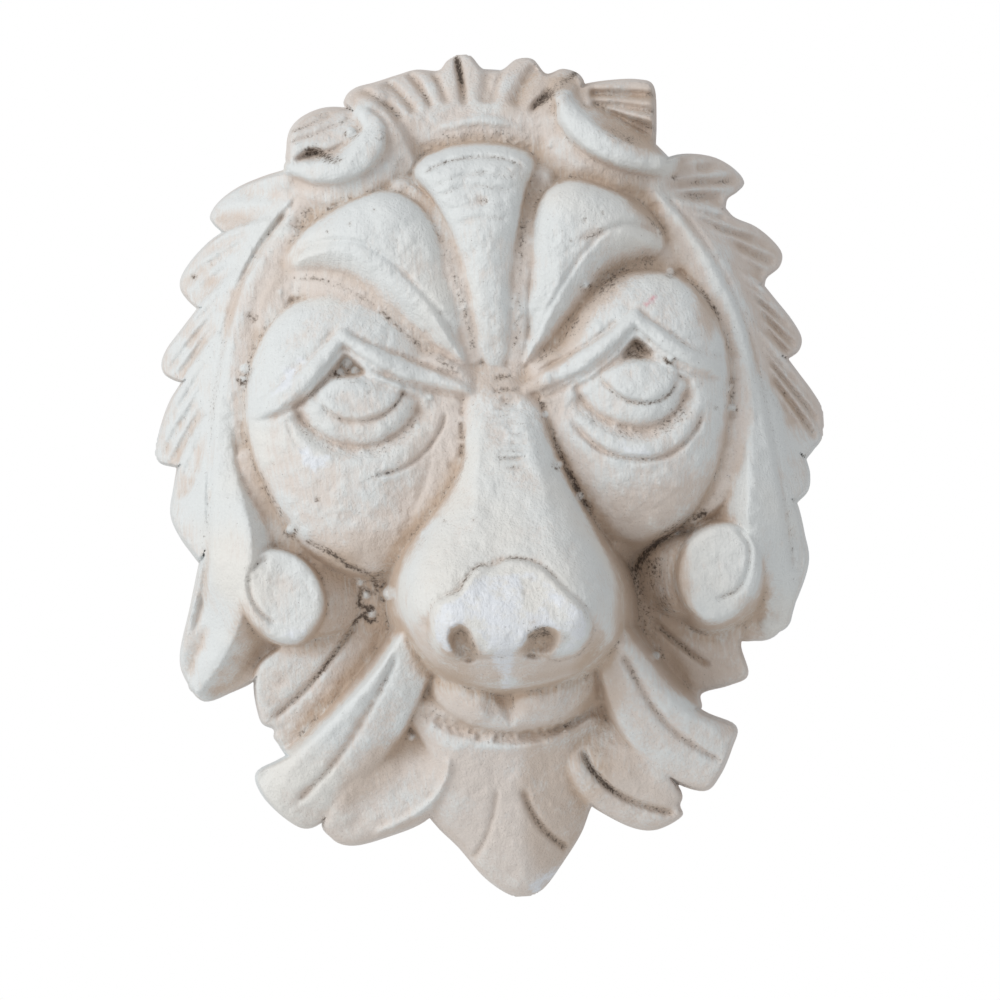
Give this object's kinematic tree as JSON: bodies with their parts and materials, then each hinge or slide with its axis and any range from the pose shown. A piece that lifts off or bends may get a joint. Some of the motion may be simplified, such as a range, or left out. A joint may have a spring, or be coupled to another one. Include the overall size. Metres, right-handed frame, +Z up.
{
  "type": "lion head wall mask",
  "caption": "Cast plaster lion head in deep relief, with heavy lids, a broad muzzle, scrolled cheek leaves and a leafy mane, with a flat back for hanging on a wall.",
  "frame": {"origin": "on the flat back, in the middle of the face between the eyes and the nose, where the mask lies against the wall", "axes": "+Z up towards the tuft, +Y into the wall, so the face looks along -Y; +X to the right as seen from the front"},
  "size_m": [0.1598, 0.075, 0.2016],
  "materials": {
    "plaster": "matt off-white cast plaster with a worn pale wash over warm beige hollows and dark dirt in the creases"
  },
  "bodies": {
    "root": {"lion_mask": "plaster"}
  },
  "joints": []
}
